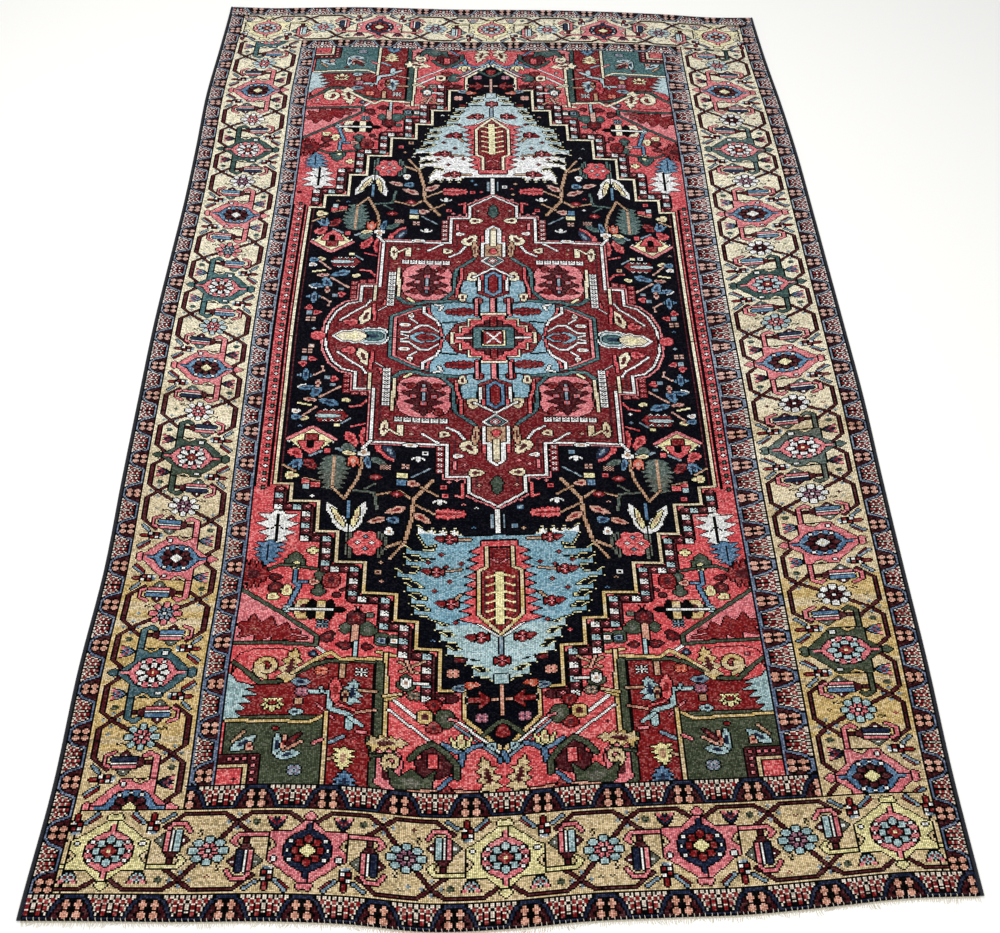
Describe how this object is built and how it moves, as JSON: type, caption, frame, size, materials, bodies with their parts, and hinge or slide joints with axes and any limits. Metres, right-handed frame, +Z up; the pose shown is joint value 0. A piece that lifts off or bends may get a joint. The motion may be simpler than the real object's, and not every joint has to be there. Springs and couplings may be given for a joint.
{
  "type": "hand-knotted wool rug with a stepped centre medallion",
  "caption": "Flat hand-knotted wool rug with a slightly uneven outline, overcast sides and short cotton end fringes, lying on the floor.",
  "frame": {"origin": "centre of the footprint of the whole rug with its fringe, on the flat underside", "axes": "+Y along the rug's length from the near end to the far end, +X across it, +Z up out of the pile"},
  "size_m": [2.1718, 3.4896, 0.0091],
  "materials": {
    "pile": "worn matt wool pile in madder red, rose, navy, light blue, gold and cream, knotted row by row",
    "overcast_wool": "near-black navy wool yarn wound closely round the side warps",
    "warp_cotton": "off-white frayed cotton warp ends"
  },
  "bodies": {
    "root": {"rug_body": "pile", "selvedge_left": "overcast_wool", "selvedge_right": "overcast_wool", "fringe_near": "warp_cotton", "fringe_far": "warp_cotton"}
  },
  "joints": []
}
